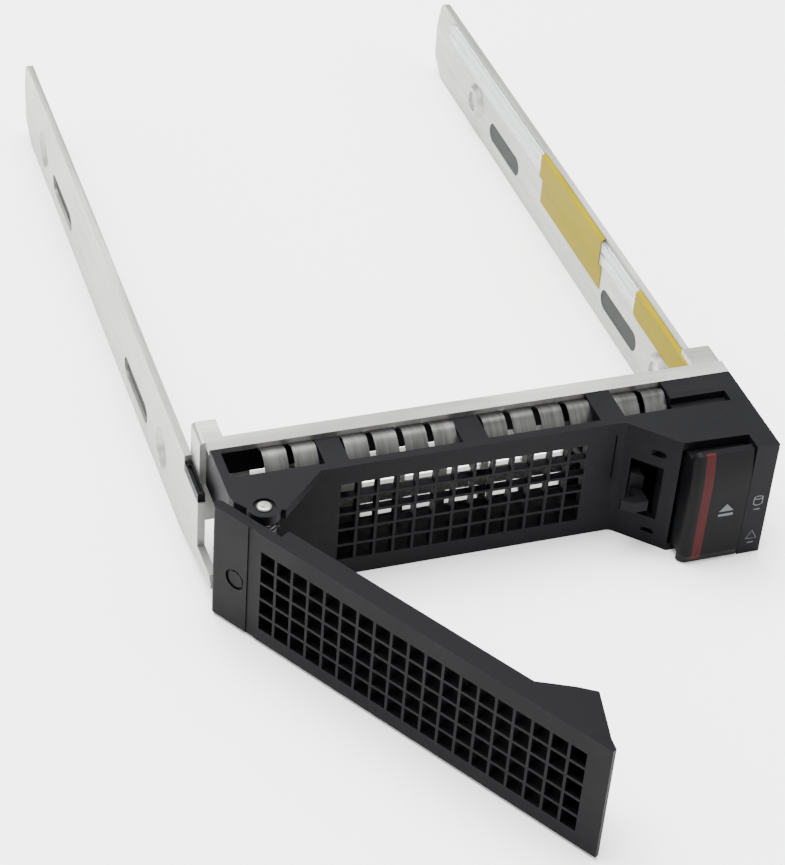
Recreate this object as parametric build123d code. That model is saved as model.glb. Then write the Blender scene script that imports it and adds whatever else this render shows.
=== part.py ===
from build123d import *
import math
import os

os.makedirs("parts", exist_ok=True)

# Frame: X to the right, Y back along the rails, Z up. The origin is at mid-width, on the
# bottom face, where the bezel meets the steel shield. Millimetres.

# Driving sizes
WIDTH = 73.4               # outside of one rail to outside of the other
HEIGHT = 18.2              # bezel, bottom to top
SHEET = 1.0                # rail steel
RAIL_TOP = 13.6            # rail height
RAIL_TIP = 114.0           # furthest point of the right rail behind the shield
LEFT_TIP = 108.0           # the left rail is a little shorter
DRIVE_WIDTH = 69.85        # the drive that the tray carries
SCREW_PITCH = 76.6         # between the drive's two side screws
SCREW_FRONT = 17.0         # front screw, behind the bezel
SCREW_Z = 5.3
SCREW_R = 1.6              # clearance hole for an M3 screw
GRID = 2.6                 # pitch of the ventilation grids
HOLE = 2.2                 # side of one square vent hole
BLOCK_FRONT = -16.5        # front face of the right-hand block
PANEL_FRONT = -7.6         # front face of the vent panel
PANEL_BACK = -6.4
OPEN_ANGLE = 58.0          # the lever stands this far open at rest
BUTTON_TRAVEL = 1.5
BUTTON_TOP = 17.9
RETAINER_FRONT = -4.8      # insert behind the latch

HALF = WIDTH / 2
INNER = HALF - SHEET                       # inside face of a rail
DIMPLE = INNER - DRIVE_WIDTH / 2 - 0.05    # the screw seats stand this far in
PIVOT = (-31.1, -12.4)                     # lever hinge axis
PIN_R = 1.0
RUN = 0.05                                 # radial running clearance
WALL = 1.2                                 # plastic wall
BLOCK_LEFT = 24.3                          # left edge of the block's front
RECESS = -13.4                             # the block's top stops here, behind the button
STRIP_LEFT = 33.5                          # left edge of the indicator strip
BEND_X = BLOCK_LEFT + 0.2 - PANEL_FRONT + RECESS   # the 45 degree wall starts here
SLOTS = (31.5, 79.9)                       # middles of the pad slots along a rail
SLOT_Z = 4.2
SLOT_LENGTH = 13.4
SLOT_HEIGHT = 3.2

# Shield
SHIELD_FRONT = 1.1
SHIELD_T = 0.8
SHIELD_BACK = SHIELD_FRONT + SHIELD_T
WING_BACK = 5.5
BAND_FRONT = -0.5
BAND_BOTTOM = HEIGHT - SHIELD_T
FINGER_W = 3.1
FINGER_PITCH = 3.93
FINGER_GROUPS = ((-28.55, 2), (-17.85, 4), (0.85, 4), (19.35, 2))

# Lever, sizes along it (s) and behind its face (d)
LEVER_LENGTH = 59.3
HEEL = 1.1                 # the face runs on past its zero by this much
LEVER_LOW = 0.4
LEVER_HIGH = 17.8
FACE_T = 1.4
HINGE_S = 3.9
HINGE_D = 3.9
FLANGE_D = 2.8

# Light pipes
PIPE_X0 = INNER - 0.6
PIPE_REAR = 106.0
PIPE_H = 1.6
SKIN = 0.6                 # plastic left in front of each light pipe
ICON_UPPER = 9.8
ICON_LOWER = 3.4


def block(x0, x1, y0, y1, z0, z1):
    size = Box(x1 - x0, y1 - y0, z1 - z0, align=(Align.MIN, Align.MIN, Align.MIN))
    return Pos(x0, y0, z0) * size


def plan(points, z0, z1):
    return extrude(Plane.XY.offset(z0) * Polygon(*points, align=None), amount=z1 - z0, dir=(0, 0, 1))


def side(points, x0, x1):
    return extrude(Plane.YZ.offset(x0) * Polygon(*points, align=None), amount=x1 - x0, dir=(1, 0, 0))


def rod_x(r, y, z, x0, x1):
    return Pos((x0 + x1) / 2, y, z) * Rot(0, 90, 0) * Cylinder(r, x1 - x0)


def rod_y(r, x, z, y0, y1):
    return Pos(x, (y0 + y1) / 2, z) * Rot(90, 0, 0) * Cylinder(r, y1 - y0)


def rod_z(r, x, y, z0, z1):
    return Pos(x, y, (z0 + z1) / 2) * Cylinder(r, z1 - z0)


def coil(radius, wire, length, turns):
    """A compression spring along +Z from the origin."""
    run = length - wire
    path = Helix(pitch=run / turns, height=run, radius=radius)
    section = Plane(origin=path @ 0, z_dir=path % 0) * Circle(wire / 2)
    return Pos(0, 0, wire / 2) * sweep(section, path)


def save(node, shape):
    export_step(shape, f"parts/{node}.step")


# ---------------------------------------------------------------- steel frame
def rail_plate(front, tip):
    """Side view of a rail pulled to sheet thickness, with its screw seats and slots."""
    end = [(tip - 4.0, 0), (tip, 2.6), (tip, 8.6), (tip - 1.5, RAIL_TOP)]
    plate = side(front + end, INNER, HALF)
    rear = plate.edges().filter_by(Axis.X).filter_by(lambda e: e.center().Y > tip - 8)
    plate = fillet(rear, 1.8)
    for y in (SCREW_FRONT, SCREW_FRONT + SCREW_PITCH):
        seat = Pos(INNER - DIMPLE / 2, y, SCREW_Z) * Rot(0, 90, 0) * Cone(2.3, 2.9, DIMPLE)
        plate += seat
        sink = Pos(HALF - 0.55, y, SCREW_Z) * Rot(0, 90, 0) * Cone(1.9, 3.0, 1.1)
        plate -= sink
        plate -= rod_x(SCREW_R, y, SCREW_Z, INNER - DIMPLE - 1, HALF + 1)
    return plate - rail_slots(0.0, INNER - 1, HALF + 1)


def rail_slots(shrink, x0, x1):
    slots = Sketch()
    for y in SLOTS:
        slots += Pos(y, SLOT_Z) * SlotOverall(SLOT_LENGTH - 2 * shrink, SLOT_HEIGHT - 2 * shrink)
    return extrude(Plane.YZ.offset(x0) * slots, amount=x1 - x0, dir=(1, 0, 0))


def slot_pads(x0, x1):
    """Two rubber pads pressed into the slots of the right rail."""
    return Compound(rail_slots(0.02, x0, x1).solids())


def right_rail():
    front = [(1.3, RAIL_TOP), (1.3, 0)]
    return rail_plate(front, RAIL_TIP)


def left_rail():
    # a notch for the side clip, and a tongue that runs forward beside the lever
    notch = [(4.7, RAIL_TOP), (4.7, 11.3), (-2.2, 11.3)]
    tongue = [(-2.2, 4.2), (-8.2, 4.4), (-8.9, 3.6), (-8.9, 2.7), (-1.5, 1.9), (7.5, 0)]
    front = notch + tongue
    return mirror(rail_plate(front, LEFT_TIP), Plane.YZ)


def shield_plate():
    edge = INNER - 0.02
    inner = edge - SHIELD_T
    plate = block(-inner, inner, SHIELD_FRONT, SHIELD_BACK, 0.3, HEIGHT)
    plate += block(-inner, inner, BAND_FRONT, SHIELD_BACK, BAND_BOTTOM, HEIGHT)
    for sign in (-1, 1):
        reach = HALF - 0.02 if sign > 0 else edge
        tab = block(inner - 2.4, reach, SHIELD_FRONT, WING_BACK, BAND_BOTTOM, HEIGHT)
        wing = block(inner, edge, SHIELD_FRONT, WING_BACK, 1.5, HEIGHT)
        wing += block(inner, reach, SHIELD_FRONT, WING_BACK, RAIL_TOP + 0.15, HEIGHT)
        if sign > 0:
            plate += block(inner, reach, BAND_FRONT, SHIELD_BACK, BAND_BOTTOM, HEIGHT)
        ear = tab + wing
        ear = fillet(ear.edges().filter_by(Axis.Y).sort_by(Axis.X)[-1], 0.6)
        if sign > 0:
            ear -= block(inner - 1, edge + 1, 0, 7, 8.8, 14.0)
            plate -= block(inner - 0.4, edge + 1, 0, 3, 8.8, 14.0)
        plate += ear if sign > 0 else mirror(ear, Plane.YZ)
    plate -= block(-inner - 1, -30.4, 0, 3, 0, 5.4)
    for z in (2.7, 7.8):
        for i in range(5):
            plate -= block(-13.6 + 5.9 * i, -8.9 + 5.9 * i, 0, 3, z - 1.1, z + 1.1)
    for x0, x1 in ((-29.0, -25.2), (-13.0, -2.4), (19.8, 22.6)):
        plate -= block(x0, x1, 0, 3, 11.8, 13.6)
    for x in (-22.0, 17.2):
        plate -= rod_y(1.3, x, 9.0, 0, 3)
    return plate


def finger_profile():
    """One spring finger: flat under the band, over a crest, then down in front."""
    t = 0.2
    base = BAND_BOTTOM - 0.02
    back = [(BAND_FRONT - 0.1, base), (-1.7, base + 0.55), (-3.5, base - 0.15),
            (-4.9, base - 1.6), (-5.6, base - 3.1)]
    under = [(y + (0.0 if i < 2 else t * 0.8), z - (t if i < 3 else t * 0.6))
             for i, (y, z) in enumerate(back)]
    upper = Spline(*back, tangents=[(-1, 0.35), (-0.35, -1)])
    lower = Spline(*under, tangents=[(-1, 0.35), (-0.35, -1)])
    root = Polyline(back[0], (SHIELD_FRONT - 0.05, base), (SHIELD_FRONT - 0.05, base - t), under[0])
    return make_face([upper, lower, root, Line(back[-1], under[-1])])


def shield_fingers():
    t = 0.2
    base = BAND_BOTTOM - 0.02
    x0 = FINGER_GROUPS[0][0]
    x1 = FINGER_GROUPS[-1][0] + FINGER_PITCH + FINGER_W
    strip = block(x0, x1, BAND_FRONT - 0.1, SHIELD_FRONT - 0.05, base - t, base)
    for start, count in FINGER_GROUPS:
        for i in range(count):
            profile = Plane.YZ.offset(start + FINGER_PITCH * i) * finger_profile()
            strip += extrude(profile, amount=FINGER_W, dir=(1, 0, 0))
    return strip


def side_clip():
    clip = block(-HALF + 0.02, -INNER - 0.02, -2.1, 4.6, 11.35, 12.6)
    return clip - block(-HALF + 0.3, -INNER - 0.3, -1.4, 3.9, 12.1, 13.0)


# ---------------------------------------------------------------- plastic bezel
def slope(shift=0.0):
    """Plan line from the vent panel along the 45 degree wall to the button's corner."""
    panel = (15.8, PANEL_FRONT + shift)
    bend = (BEND_X, PANEL_FRONT + shift)
    return FilletPolyline(panel, bend, (BLOCK_LEFT + 0.2, RECESS + shift), radius=1.5)


def block_outline():
    """Plan of the right-hand block without the button's opening."""
    start = (15.8, PANEL_FRONT)
    corner = (BLOCK_LEFT + 0.2, RECESS)
    rest = Polyline(corner, (STRIP_LEFT, RECESS - 0.3), (STRIP_LEFT, BLOCK_FRONT), (HALF, BLOCK_FRONT),
                    (HALF, 1.0), (15.8, 1.0), start)
    return make_face([slope(), rest])


def sloping_wall():
    thick = 1.55
    a = (15.8, PANEL_FRONT)
    b = (BLOCK_LEFT + 0.2, RECESS)
    ends = [Line(a, (a[0], a[1] + thick)), Line(b, (b[0], b[1] + thick))]
    return extrude(make_face([slope(), slope(thick)] + ends), amount=HEIGHT, dir=(0, 0, 1))


def ear(z0, z1, rear):
    """Plan of one hinge ear: a trapezium with a round nose about the pivot."""
    nose = 2.2
    px, py = PIVOT
    body = plan(rear + [(-22.4, PANEL_FRONT), (-27.6, -12.6), (-28.7, -13.8)], z0, z1)
    return body + rod_z(nose, px, py, z0, z1)


def vent_grid(columns, x0, z0, y0, y1):
    holes = Sketch()
    for i in range(columns):
        for j in range(5):
            holes += Pos(x0 + GRID * i + HOLE / 2, z0 + GRID * j + HOLE / 2) * Rectangle(HOLE, HOLE)
    return extrude(Plane.XZ.offset(-y1) * holes, amount=y1 - y0, dir=(0, -1, 0))


def pipe_path(z_rail, z_icon, grow=0.0):
    """Side view of a light pipe: straight along the rail, down a ramp, out to the strip."""
    h = PIPE_H / 2 + grow
    y_front = BLOCK_FRONT + SKIN - grow
    low = -2.0 - (z_rail - z_icon)
    return [(PIPE_REAR, z_rail + h), (0.5, z_rail + h), (low, z_icon + h), (y_front, z_icon + h),
            (y_front, z_icon - h), (low - 0.3, z_icon - h), (0.2, z_rail - h), (PIPE_REAR, z_rail - h)]


def oval_pocket(x, z, half_x, half_z):
    """A shallow oval pocket in the sloping wall."""
    y = PANEL_FRONT - (x - BEND_X)
    oval = Pos(x, z) * SlotOverall(2 * half_x, 2 * half_z)
    return extrude(Plane.XZ.offset(-y - 0.5) * oval, amount=4.0, dir=(0, -1, 0))


def bezel_body():
    body = block(-29.5, 16.0, PANEL_FRONT, PANEL_BACK, 0, HEIGHT)
    body += block(-29.5, 16.0, PANEL_FRONT, 1.0, 0, WALL)
    outline = block_outline()
    body += extrude(outline, amount=WALL, dir=(0, 0, 1))
    body += extrude(Plane.XY.offset(HEIGHT - WALL) * outline, amount=WALL, dir=(0, 0, 1))
    body += sloping_wall()
    body += block(STRIP_LEFT, HALF, BLOCK_FRONT, 1.0, 0, HEIGHT)
    # left end: upper and lower hinge ears and the side wall above the rail
    left = -INNER + 0.9
    body += ear(HEIGHT - 1.4, HEIGHT,
                [(-33.2, -12.5), (-34.5, -10.8), (left, -9.6), (left, -6.3), (-22.4, -6.3)])
    body += ear(0, 1.4, [(-33.3, PIVOT[1]), (-33.3, -9.5), (-29.5, -6.4), (-22.4, -6.4)])
    body += block(left, left + WALL, -9.6, 1.0, 11.5, HEIGHT)
    body += block(left, -28.9, PANEL_FRONT + 0.2, -6.3, 11.5, HEIGHT)
    # filler blocks between the groups of fingers
    for x0, x1 in ((-21.2, -18.0), (-2.8, 0.7), (15.9, 19.2)):
        body += block(x0, x1, PANEL_FRONT + 0.1, -0.8, 13.6, 17.5)
    # finger opening in the block's top, and the long rounded bar behind its slot
    body -= block(19.2, 26.55, -6.3, 2, HEIGHT - 2, HEIGHT + 1)
    body -= block(26.2, STRIP_LEFT + 0.8, -6.4, -4.3, HEIGHT - 1.0, HEIGHT + 1)
    body -= block(15.5, 26.55, -0.7, 2, HEIGHT - WALL - 0.1, HEIGHT + 1)
    body -= block(-40, 40, -0.6, 2, BAND_BOTTOM - 0.1, HEIGHT + 1)
    bar = rod_x(1.4, -2.6, HEIGHT - 1.3, 26.65, STRIP_LEFT + 0.8)
    body += bar - block(20, 40, -6, 2, 0, HEIGHT - WALL)
    # ventilation grid and heat-staked posts
    body -= vent_grid(13, -19.6, 2.7, PANEL_FRONT - 1, PANEL_BACK + 1)
    for x in (-22.0, 17.2):
        body += rod_y(1.2, x, 9.0, PANEL_BACK - 0.5, SHIELD_BACK + 0.5)
        body += rod_y(1.9, x, 9.0, PANEL_BACK - 0.5, SHIELD_FRONT - 0.05)
        body += rod_y(1.9, x, 9.0, SHIELD_BACK + 0.05, SHIELD_BACK + 0.7)
    # dark inner wall that closes the finger openings at the back
    body += block(left, 22.7, 0.0, 1.0, 13.5, BAND_BOTTOM - 0.3)
    # latch window, the small pocket above it, the pocket below and the groove at the bend
    body -= block(19.8, 23.05, -13.1, -5.6, 4.4, 13.0)
    body -= oval_pocket(22.1, 15.1, 1.0, 0.5)
    body -= oval_pocket(22.2, 2.2, 0.9, 0.35)
    body -= block(17.7, 17.95, PANEL_FRONT - 0.1, PANEL_FRONT + 0.25, 9.2, 16.2)
    # guides for the latch and the groove that holds the button in
    body += block(23.2, STRIP_LEFT + 0.1, -8.4, -5.1, 5.1, 5.9)
    body += block(29.6, STRIP_LEFT + 0.1, -9.5, -8.65, 5.1, HEIGHT - 1)
    body += block(27.0, 31.0, -8.2, -5.2, 14.15, HEIGHT - 1)
    body -= block(STRIP_LEFT - 0.1, STRIP_LEFT + 1.0, -12.6, -9.8, 5.0, 13.0)
    # hinge pin seats
    px, py = PIVOT
    body -= rod_z(PIN_R + 0.01, px, py, -1, HEIGHT + 1)
    body -= rod_z(PIN_R + 0.4, px, py, HEIGHT - 0.3, HEIGHT + 1)
    # channels for the two light pipes
    for z_rail, z_icon in ((12.2, ICON_UPPER), (10.3, ICON_LOWER)):
        body -= side(pipe_path(z_rail, z_icon, 0.05), PIPE_X0 - 0.05, INNER + 0.05)
        body -= lens(z_icon, 0.05)
    return body


def latch_retainer():
    """Plastic insert behind the latch: guides it and takes the button spring."""
    part = block(22.9, STRIP_LEFT - 0.1, RETAINER_FRONT, RETAINER_FRONT + 1.0, 1.3, 14.8)
    for x0, x1 in ((23.0, 24.2), (32.1, 33.3)):
        part += block(x0, x1, -3.8, 0.95, 1.3, 14.8)
    return part + rod_y(0.75, 29.6, 3.4, -6.0, -4.8)


# ---------------------------------------------------------------- lever
def opened(shape):
    """Turn a shape drawn with the lever shut to the rest position."""
    return Pos(*PIVOT) * Rot(0, 0, -OPEN_ANGLE) * Pos(-PIVOT[0], -PIVOT[1]) * shape


def lever_handle():
    x0 = PIVOT[0] - HINGE_S
    face = PIVOT[1] - HINGE_D
    px, py = PIVOT

    def at(points):
        return [(x0 + s, face + d) for s, d in points]

    outline = [(-HEEL, 0), (LEVER_LENGTH, 0), (LEVER_LENGTH, 0.6),
               (LEVER_LENGTH - 1.2, FACE_T), (-HEEL, FACE_T)]
    body = plan(at(outline), LEVER_LOW, LEVER_HIGH)
    edge = body.edges().filter_by(Axis.Z).sort_by(Axis.X)[:2]
    body = fillet(edge, 0.6)
    # top and bottom flanges, wider at the free end
    wide = at([(9.0, 1.0), (52.6, 1.0), (LEVER_LENGTH - 0.6, 0.8), (52.6, 6.6),
               (50.2, 5.4), (46.2, FLANGE_D), (9.0, FLANGE_D)])
    body += plan(wide, LEVER_HIGH - WALL, LEVER_HIGH)
    body += plan(wide, LEVER_LOW, LEVER_LOW + WALL)
    end_wall = at([(52.6, 6.6), (51.2, 5.9), (51.8, 4.9), (57.0, 0.8), (LEVER_LENGTH - 0.6, 0.8)])
    body += plan(end_wall, LEVER_LOW, LEVER_HIGH)
    body += plan(at([(9.0, 1.0), (10.2, 1.0), (10.2, FLANGE_D), (9.0, FLANGE_D)]), LEVER_LOW, LEVER_HIGH)
    # catch: a window in the sloping end wall for the latch tooth
    body -= block(16.0, 21.5, -12.7, -10.9, 6.3, 8.7)
    # hinge barrel and its web
    body += rod_z(2.2, px, py, 1.7, 11.0)
    body += block(px - 2.2, px + 2.4, face + 1.0, py, 1.7, 11.0)
    body -= rod_z(PIN_R + RUN, px, py, 0, 20)
    # deep grid, the shallow band beside it and the round gate mark
    body += block(x0 + 6.7, x0 + 7.1 + 19 * GRID, face + 1.0, face + FLANGE_D, 2.1, 2.5 + 5 * GRID)
    body -= vent_grid(19, x0 + 7.1, 2.5, face - 1, face + FLANGE_D + 0.5)
    body -= block(x0 + 4.9, x0 + 6.2, face - 1, face + 0.12, LEVER_LOW - 1, LEVER_HIGH + 1)
    body -= rod_y(1.5, x0 + 2.9, 8.0, face - 1, face + 0.3)
    body += rod_y(1.15, x0 + 2.9, 8.0, face + 0.12, face + 0.5)
    return opened(body)


def pivot_pin():
    px, py = PIVOT
    pin = rod_z(PIN_R, px, py, 0.2, HEIGHT + 0.1)
    return fillet(pin.edges().sort_by(Axis.Z)[-1], 0.35)


def lever_spring():
    px, py = PIVOT
    radius = 1.5
    body = Pos(px, py, 11.4) * coil(radius, 0.4, 4.6, 6)
    body += rod_y(0.2, px + radius, 11.6, py, py + 4.2)
    return body + rod_y(0.2, px + radius, 15.8, py - 1.4, py)


# ---------------------------------------------------------------- release button and latch
def button_block(x0, x1, inset=0.0):
    """The button's side view drawn out along X: the front leans back in an arc at the top."""
    y = BLOCK_FRONT - 0.4 + inset
    top_back = RECESS - 0.35 - BUTTON_TRAVEL
    front = [Line((y + 0.4, 0.15), (y, 1.4)), Line((y, 1.4), (y, 12.5))]
    crown = TangentArc((y, 12.5), (y + 0.6, BUTTON_TOP), tangent=(0, 1))
    back = [(y + 0.6, BUTTON_TOP), (top_back, BUTTON_TOP), (top_back, 16.85), (-11.3, 16.85)]
    foot = [(-11.3, 1.4), (-15.4, 1.4), (-15.4, 0.15), (y + 0.4, 0.15)]
    face = make_face(front + [crown, Polyline(*back, *foot)])
    return extrude(Plane.YZ.offset(x0) * face, amount=x1 - x0, dir=(1, 0, 0))


def eject_icon():
    y0 = BLOCK_FRONT - 0.44
    x = 30.4
    arrow = Polygon((x - 1.05, 8.5), (x + 1.05, 8.5), (x, 9.7), align=None)
    bar = Pos(x, 7.9) * Rectangle(2.1, 0.4)
    face = Plane.XZ.offset(-y0 - 0.24)
    return [extrude(face * mark, amount=0.24, dir=(0, -1, 0)) for mark in (arrow, bar)]


def button_stripe():
    shell = button_block(26.5, 27.8) - button_block(26.4, 27.9, 0.5)
    return shell - block(20, 40, -15.0, 0, -1, 20) - block(20, 40, -20, 0, -1, 0.6)


def release_button():
    x0 = BLOCK_LEFT + 0.7
    x1 = STRIP_LEFT - 0.3
    body = button_block(x0, x1)
    corner = body.edges().filter_by(
        lambda e: e.center().X < x0 + 0.01 and e.center().Y < -15.6 and e.center().Z > 0.2)
    body = fillet(corner, 1.2)
    body -= block(x0 + 1.2, x1 - 1.1, -15.0, -10, 2.6, 15.6)
    # the rib whose sloping end pushes the latch aside
    tip = RETAINER_FRONT - 0.1 - BUTTON_TRAVEL
    body += plan([(25.6, -15.6), (28.6, -15.6), (28.6, -8.6), (20.0 - tip, tip), (25.6, tip)], 6.2, 12.2)
    body += block(27.8, 31.4, -15.6, -10.2, 2.0, 5.0)
    body += rod_y(0.75, 29.6, 3.4, -10.3, -8.6)
    body += block(x1 - 1.1, x1 + 0.8, -12.5, -11.5, 6.0, 12.0)
    for mark in eject_icon():
        body -= mark
    return body - button_stripe()


def button_spring():
    length = 5.3
    return Pos(29.6, -4.84, 3.4) * Rot(90, 0, 0) * coil(1.2, 0.35, length, 5)


def latch_slider():
    left = 20.0
    right = left + 1.35
    flush = BEND_X + PANEL_FRONT + 0.1
    body = block(left, 31.2, -7.0, -4.9, 12.4, 14.0)
    body += plan([(28.75, -8.55), (31.2, -8.55), (31.2, -4.9), (25.1, -4.9)], 6.0, 12.6)
    # the bar that shows in the window, and the hook that holds the lever
    body += plan([(left, flush - left), (right, flush - right), (right, -5.6), (left, -5.6)], 4.6, 10.6)
    body += block(left, right, -6.4, -4.9, 4.6, 12.6)
    body += plan([(left, -9.0), (left, -11.0), (17.9, -11.0), (17.9, -11.4),
                  (19.4, -12.4), (right, -12.4), (right, -9.0)],
                 6.7, 8.3)
    return body - rod_x(1.15, -6.7, 9.5, 28.6, 32)


def latch_spring():
    return Pos(28.65, -6.7, 9.5) * Rot(0, 90, 0) * coil(0.85, 0.3, STRIP_LEFT - 28.7, 5)


# ---------------------------------------------------------------- indicators
def lens(z, grow=0.0):
    half = 0.9 + grow
    x = PIPE_X0 + 0.3
    y = BLOCK_FRONT + SKIN
    return block(x - half, x + half, y - grow, y + 1.0 + grow, z - half, z + half)


def light_pipe(z_rail, z_icon):
    return side(pipe_path(z_rail, z_icon), PIPE_X0, INNER - 0.01) + lens(z_icon)


def tape(y0, y1, low):
    """Thin film over the light pipes and down the inside of the rail."""
    t = 0.08
    x1 = INNER - 0.01
    x0 = PIPE_X0 - 0.02
    skin = [(x1, 13.5), (x0, 13.1), (x0, 9.4), (x1, 8.9), (x1, low)]
    back = [(x1 - t, low), (x1 - t, 8.85), (x0 - t, 9.35), (x0 - t, 13.15), (x1 - t, 13.55)]
    return extrude(Plane.XZ.offset(-y1) * Polygon(*skin, *back, align=None), amount=y1 - y0, dir=(0, -1, 0))


save("left_rail", left_rail())
save("right_rail", right_rail())
save("shield_plate", shield_plate())
save("shield_fingers", shield_fingers())
save("side_clip", side_clip())
save("right_slot_pads", slot_pads(INNER + 0.1, HALF - 0.2))
save("left_slot_pads", mirror(slot_pads(INNER + 0.1, HALF - 0.5), Plane.YZ))
save("bezel_body", bezel_body())
save("latch_retainer", latch_retainer())
save("lever_handle", lever_handle())
save("pivot_pin", pivot_pin())
save("lever_spring", lever_spring())
save("release_button", release_button())
save("button_stripe", button_stripe())
save("button_icon", Compound(eject_icon()))
save("button_spring", button_spring())
save("latch_slider", latch_slider())
save("latch_spring", latch_spring())
save("light_pipe_upper", light_pipe(12.2, ICON_UPPER))
save("light_pipe_lower", light_pipe(10.3, ICON_LOWER))
save("tape_rear", tape(39.1, 63.5, 4.6))
save("tape_front", tape(7.5, 25.9, 8.3))
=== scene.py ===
import math

import bpy
from mathutils import Matrix, Vector


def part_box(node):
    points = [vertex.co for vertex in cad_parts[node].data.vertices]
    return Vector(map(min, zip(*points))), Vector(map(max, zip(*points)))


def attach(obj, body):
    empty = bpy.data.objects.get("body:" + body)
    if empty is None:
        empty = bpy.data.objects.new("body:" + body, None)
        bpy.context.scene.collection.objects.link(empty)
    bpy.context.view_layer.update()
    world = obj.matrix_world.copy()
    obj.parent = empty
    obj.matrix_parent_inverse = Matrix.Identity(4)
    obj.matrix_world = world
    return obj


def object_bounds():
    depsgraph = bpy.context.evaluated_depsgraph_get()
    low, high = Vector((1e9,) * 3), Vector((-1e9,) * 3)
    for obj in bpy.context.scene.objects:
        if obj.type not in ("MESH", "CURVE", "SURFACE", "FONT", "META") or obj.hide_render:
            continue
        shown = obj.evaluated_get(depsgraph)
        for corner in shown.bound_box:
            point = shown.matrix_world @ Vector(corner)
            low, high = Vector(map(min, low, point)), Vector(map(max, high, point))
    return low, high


MM = 0.001

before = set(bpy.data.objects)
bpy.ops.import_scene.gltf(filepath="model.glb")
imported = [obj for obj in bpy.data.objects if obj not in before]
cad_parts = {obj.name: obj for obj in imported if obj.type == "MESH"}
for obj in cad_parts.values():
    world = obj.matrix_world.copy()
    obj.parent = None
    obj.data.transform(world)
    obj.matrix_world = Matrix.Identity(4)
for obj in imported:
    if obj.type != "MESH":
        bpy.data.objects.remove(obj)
cad_low, cad_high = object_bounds()
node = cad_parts


# ---------------------------------------------------------------- materials
def new_material(name):
    mat = bpy.data.materials.new(name)
    mat.use_nodes = True
    tree = mat.node_tree
    return mat, tree, tree.nodes["Principled BSDF"]


def coords(tree, scale):
    """Object coordinates, stretched by scale (per metre)."""
    where = tree.nodes.new("ShaderNodeTexCoord")
    mapping = tree.nodes.new("ShaderNodeMapping")
    mapping.inputs["Scale"].default_value = scale
    tree.links.new(where.outputs["Object"], mapping.inputs["Vector"])
    return mapping.outputs["Vector"]


def noise(tree, scale, detail=3.0, rough=0.5):
    tex = tree.nodes.new("ShaderNodeTexNoise")
    tex.inputs["Scale"].default_value = 1.0
    tex.inputs["Detail"].default_value = detail
    tex.inputs["Roughness"].default_value = rough
    tree.links.new(coords(tree, scale), tex.inputs["Vector"])
    return tex.outputs["Fac"]


def spread(tree, value, low, high, start=0.3, end=0.7):
    """Map a noise value onto a range."""
    ramp = tree.nodes.new("ShaderNodeMapRange")
    ramp.inputs["From Min"].default_value = start
    ramp.inputs["From Max"].default_value = end
    ramp.inputs["To Min"].default_value = low
    ramp.inputs["To Max"].default_value = high
    tree.links.new(value, ramp.inputs["Value"])
    return ramp.outputs["Result"]


def tint(tree, value, dark, light):
    """Blend two colours by a noise value."""
    mix = tree.nodes.new("ShaderNodeMix")
    mix.data_type = "RGBA"
    mix.inputs["A"].default_value = (*dark, 1.0)
    mix.inputs["B"].default_value = (*light, 1.0)
    tree.links.new(value, mix.inputs["Factor"])
    return mix.outputs["Result"]


def bump(tree, shader, height, strength, depth, below=None):
    """Fine relief on a shader, on top of an earlier relief if one is given."""
    relief = tree.nodes.new("ShaderNodeBump")
    relief.inputs["Strength"].default_value = strength
    relief.inputs["Distance"].default_value = depth
    tree.links.new(height, relief.inputs["Height"])
    if below is not None:
        tree.links.new(below, relief.inputs["Normal"])
    tree.links.new(relief.outputs["Normal"], shader.inputs["Normal"])
    return relief.outputs["Normal"]


def plastic(name, dark, light, rough, grain=7000.0, depth=0.03 * MM):
    """Moulded plastic: fine spark-eroded grain, faint flow clouds and a low sheen."""
    mat, tree, shader = new_material(name)
    shader.inputs["Specular IOR Level"].default_value = 0.07
    clouds = noise(tree, (90, 90, 90), 4)
    tree.links.new(tint(tree, clouds, dark, light), shader.inputs["Base Color"])
    tree.links.new(spread(tree, clouds, rough - 0.06, rough + 0.07), shader.inputs["Roughness"])
    bump(tree, shader, noise(tree, (grain,) * 3, 2, 0.6), 0.35, depth)
    return mat


def steel(name, dark, light, rough, stretch, depth=0.01 * MM, spangle=0.0):
    """Rolled or brushed sheet: grain along one axis, smudges and fine scratches."""
    mat, tree, shader = new_material(name)
    shader.inputs["Metallic"].default_value = 0.9
    shader.inputs["Anisotropic"].default_value = 0.4
    grain = noise(tree, stretch, 4, 0.65)
    smudge = noise(tree, (60, 60, 60), 3)
    tree.links.new(tint(tree, spread(tree, grain, 0.0, 1.0), dark, light), shader.inputs["Base Color"])
    tree.links.new(spread(tree, smudge, rough - 0.07, rough + 0.08), shader.inputs["Roughness"])
    first = bump(tree, shader, grain, 0.35, depth)
    if spangle:
        bump(tree, shader, noise(tree, (420, 420, 420), 2), spangle, depth * 6, first)
    return mat


def clear_plastic():
    """Clear acrylic with faint lines along the light pipe."""
    mat, tree, shader = new_material("clear_acrylic")
    shader.inputs["Base Color"].default_value = (0.93, 0.96, 0.97, 1)
    shader.inputs["Transmission Weight"].default_value = 0.85
    shader.inputs["IOR"].default_value = 1.49
    tree.links.new(spread(tree, noise(tree, (700, 60, 700), 3), 0.04, 0.2), shader.inputs["Roughness"])
    bump(tree, shader, noise(tree, (900, 90, 900), 2), 0.3, 0.05 * MM)
    return mat


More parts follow.
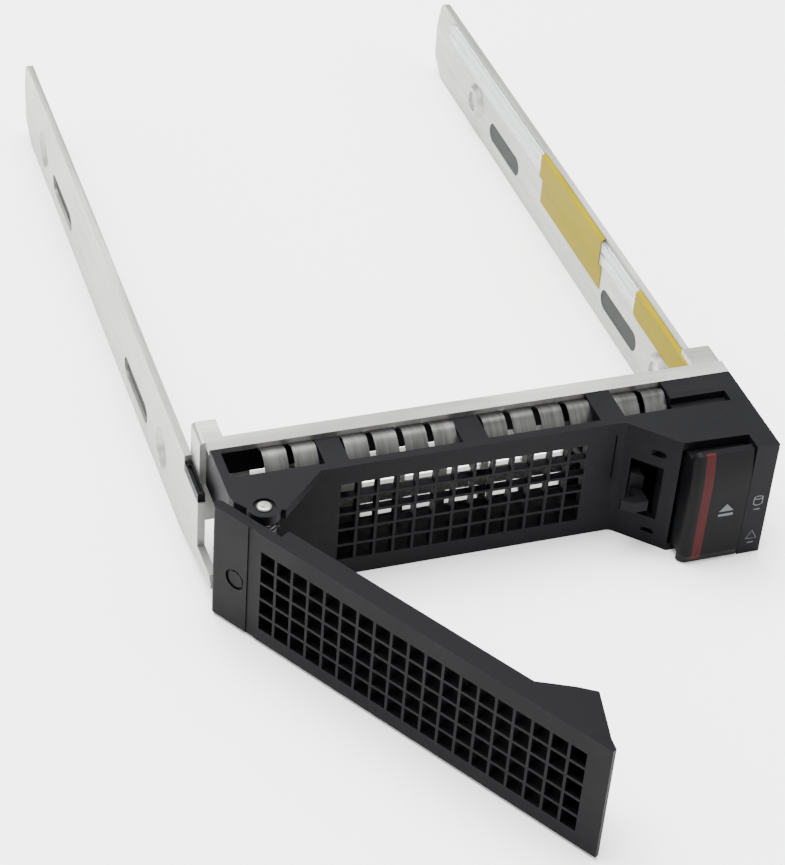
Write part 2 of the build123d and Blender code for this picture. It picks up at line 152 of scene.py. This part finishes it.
def film():
    """Yellow tape with long creases where it lies over the pipes."""
    mat, tree, shader = new_material("yellow_tape")
    clouds = noise(tree, (150, 90, 150), 3)
    colour = tint(tree, clouds, (0.15, 0.115, 0.0), (0.23, 0.182, 0.0))
    tree.links.new(colour, shader.inputs["Base Color"])
    shader.inputs["Specular IOR Level"].default_value = 0.03
    tree.links.new(spread(tree, clouds, 0.30, 0.50), shader.inputs["Roughness"])
    bump(tree, shader, noise(tree, (500, 60, 1400), 3), 0.5, 0.12 * MM)
    return mat


# dark and light colour, then roughness, then grain
black = plastic("bezel_plastic", (0.0022, 0.0022, 0.0029), (0.0044, 0.0044, 0.0055), 0.48)
lever_black = plastic("lever_plastic", (0.0014, 0.0014, 0.0019), (0.0030, 0.0030, 0.0038), 0.50)
button_black = plastic("button_plastic", (0.0012, 0.0012, 0.0016), (0.0024, 0.0024, 0.0030), 0.46,
                       9000.0, 0.015 * MM)
red = plastic("red_plastic", (0.028, 0.0040, 0.0042), (0.042, 0.0055, 0.0056), 0.46, 9000.0, 0.01 * MM)
print_grey = plastic("icon_print", (0.070, 0.072, 0.075), (0.105, 0.107, 0.11), 0.5)
rubber = plastic("pad_rubber", (0.022, 0.024, 0.024), (0.040, 0.043, 0.043), 0.62, 3000.0)
rail_steel = steel("rail_steel", (0.28, 0.28, 0.268), (0.38, 0.38, 0.365), 0.42,
                   (900, 40, 900), 0.01 * MM, 0.06)
shield_steel = steel("shield_steel", (0.30, 0.30, 0.285), (0.39, 0.39, 0.37), 0.40,
                     (40, 900, 900), 0.01 * MM, 0.08)
finger_steel = steel("finger_steel", (0.032, 0.032, 0.031), (0.070, 0.070, 0.068), 0.36,
                     (1500, 90, 90), 0.004 * MM)
pin_steel = steel("pin_steel", (0.22, 0.22, 0.20), (0.34, 0.34, 0.32), 0.30, (1500, 1500, 200))
wire_steel = steel("wire_steel", (0.030, 0.030, 0.032), (0.065, 0.065, 0.068), 0.42, (900, 900, 900))
acrylic = clear_plastic()
yellow = film()

# each CAD node's material, and the record's slot that it belongs to
FINISH = {
    "left_rail": (rail_steel, "rail_steel"),
    "right_rail": (rail_steel, "rail_steel"),
    "shield_plate": (shield_steel, "shield_steel"),
    "shield_fingers": (finger_steel, "spring_steel"),
    "side_clip": (black, "black_plastic"),
    "left_slot_pads": (rubber, "pad_rubber"),
    "right_slot_pads": (rubber, "pad_rubber"),
    "bezel_body": (black, "black_plastic"),
    "latch_retainer": (black, "black_plastic"),
    "latch_slider": (black, "black_plastic"),
    "lever_handle": (lever_black, "lever_plastic"),
    "pivot_pin": (pin_steel, "pin_steel"),
    "lever_spring": (wire_steel, "spring_wire"),
    "button_spring": (wire_steel, "spring_wire"),
    "latch_spring": (wire_steel, "spring_wire"),
    "release_button": (button_black, "button_plastic"),
    "button_stripe": (red, "red_plastic"),
    "button_icon": (print_grey, "icon_print"),
    "light_pipe_upper": (acrylic, "clear_acrylic"),
    "light_pipe_lower": (acrylic, "clear_acrylic"),
    "tape_rear": (yellow, "yellow_tape"),
    "tape_front": (yellow, "yellow_tape"),
}
# edge radii of the moulded and stamped pieces, in millimetres
EDGE = {
    "bezel_body": 0.14, "lever_handle": 0.16, "release_button": 0.16, "shield_plate": 0.10,
    "left_rail": 0.10, "right_rail": 0.10, "side_clip": 0.12, "shield_fingers": 0.03,
}


def dress(name):
    """Give a CAD node its material, and soft edges if it is moulded or stamped."""
    obj = node[name]
    mat, material_slot = FINISH[name]
    obj.data.materials.clear()
    obj.data.materials.append(mat)
    if name in EDGE:
        edge = obj.modifiers.new("edge", "BEVEL")
        edge.width = EDGE[name] * MM
        edge.segments = 2
        edge.limit_method = "ANGLE"
        edge.angle_limit = math.radians(40)
        edge.harden_normals = True


for name in node:
    dress(name)


# ---------------------------------------------------------------- printed marks on the indicator strip
# millimetres: in from the bezel's right side, and up from its bottom face
STRIP_MIDDLE = 1.55
ACTIVITY_HEIGHT = 9.5
FAULT_HEIGHT = 3.1
LINE_WIDTH = 0.17


def outline_mark(name, loops, height):
    """Thin printed lines standing 0.02 mm off the strip. loops are lists of (x, z) in millimetres."""
    curve = bpy.data.curves.new(name, "CURVE")
    curve.dimensions = "3D"
    curve.bevel_depth = LINE_WIDTH / 2 * MM
    curve.bevel_resolution = 2
    for points, closed in loops:
        line = curve.splines.new("POLY")
        line.points.add(len(points) - 1)
        for spot, (x, z) in zip(line.points, points):
            spot.co = (x * MM, 0, z * MM, 1)
        line.use_cyclic_u = closed
    obj = bpy.data.objects.new(name, curve)
    bpy.context.collection.objects.link(obj)
    obj.location = (print_x, print_y, height * MM)
    obj.scale = (1, 0.15, 1)
    curve.materials.append(print_grey)
    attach(obj, "tray")


def oval(radius, flat, count=20):
    turn = [math.tau * i / count for i in range(count)]
    return [(radius * math.cos(a), radius * flat * math.sin(a)) for a in turn]


bezel_low, bezel_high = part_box("bezel_body")
print_x = bezel_high[0] - STRIP_MIDDLE * MM
print_y = bezel_low[1] - 0.01 * MM
drum_side = [(-0.62, 0), (-0.62, -1.0), (-0.25, -1.25), (0.25, -1.25), (0.62, -1.0), (0.62, 0)]
drum = [(oval(0.62, 0.42), True), (drum_side, False), ([(-0.45, -1.95), (0.45, -1.95)], False)]
outline_mark("mark_activity", drum, ACTIVITY_HEIGHT)
warning = [([(-0.75, -0.6), (0.75, -0.6), (0, 0.75)], True), ([(-0.45, -1.3), (0.45, -1.3)], False)]
outline_mark("mark_fault", warning, FAULT_HEIGHT)


# ---------------------------------------------------------------- studio
def area(name, at, aim, size, power):
    light = bpy.data.lights.new(name, "AREA")
    light.shape = "SQUARE"
    light.size = size
    light.energy = power
    obj = bpy.data.objects.new(name, light)
    bpy.context.collection.objects.link(obj)
    obj.location = at
    obj.rotation_euler = (aim - Vector(at)).to_track_quat("-Z", "Y").to_euler()


centre = (cad_low + cad_high) / 2
area("key", (-0.10, 0.22, 0.85), centre, 0.70, 34.0)
area("fill", (0.55, -0.35, 0.60), centre, 0.60, 5.0)
area("rim", (-0.60, 0.05, 0.35), centre, 0.40, 2.0)

bpy.ops.mesh.primitive_plane_add(size=6.0, location=(0, 0, cad_low.z - 0.05 * MM))
floor = bpy.context.object
floor.name = "floor"
paper, tree, shader = new_material("paper")
shade = tint(tree, noise(tree, (6, 6, 6)), (0.93, 0.93, 0.93), (0.96, 0.96, 0.96))
tree.links.new(shade, shader.inputs["Base Color"])
shader.inputs["Roughness"].default_value = 0.8
floor.data.materials.append(paper)

world = bpy.data.worlds.new("studio")
world.use_nodes = True
sky = world.node_tree.nodes["Background"]
sky.inputs["Color"].default_value = (1, 1, 1, 1)
sky.inputs["Strength"].default_value = 1.25
bpy.context.scene.world = world

# camera: from the front left, looking down, tilted a little
AZIMUTH, ELEVATION, ROLL = math.radians(-21.1), math.radians(38.3), math.radians(4.67)
CAMERA_AT = Vector((-96.9, -224.2, 205.9)) * MM
level = math.cos(ELEVATION)
look = Vector((-math.sin(AZIMUTH) * level, math.cos(AZIMUTH) * level, -math.sin(ELEVATION)))
right = look.cross(Vector((0, 0, 1))).normalized()
up = right.cross(look)
rolled_right = right * math.cos(ROLL) + up * math.sin(ROLL)
rolled_up = up * math.cos(ROLL) - right * math.sin(ROLL)
camera_data = bpy.data.cameras.new("camera")
camera_data.sensor_width = 36.0
camera_data.lens = 99.05
camera_data.clip_start = 0.01
camera = bpy.data.objects.new("camera", camera_data)
bpy.context.collection.objects.link(camera)
turn = Matrix((rolled_right, rolled_up, -look)).transposed().to_4x4()
camera.matrix_world = Matrix.Translation(CAMERA_AT) @ turn
bpy.context.scene.camera = camera
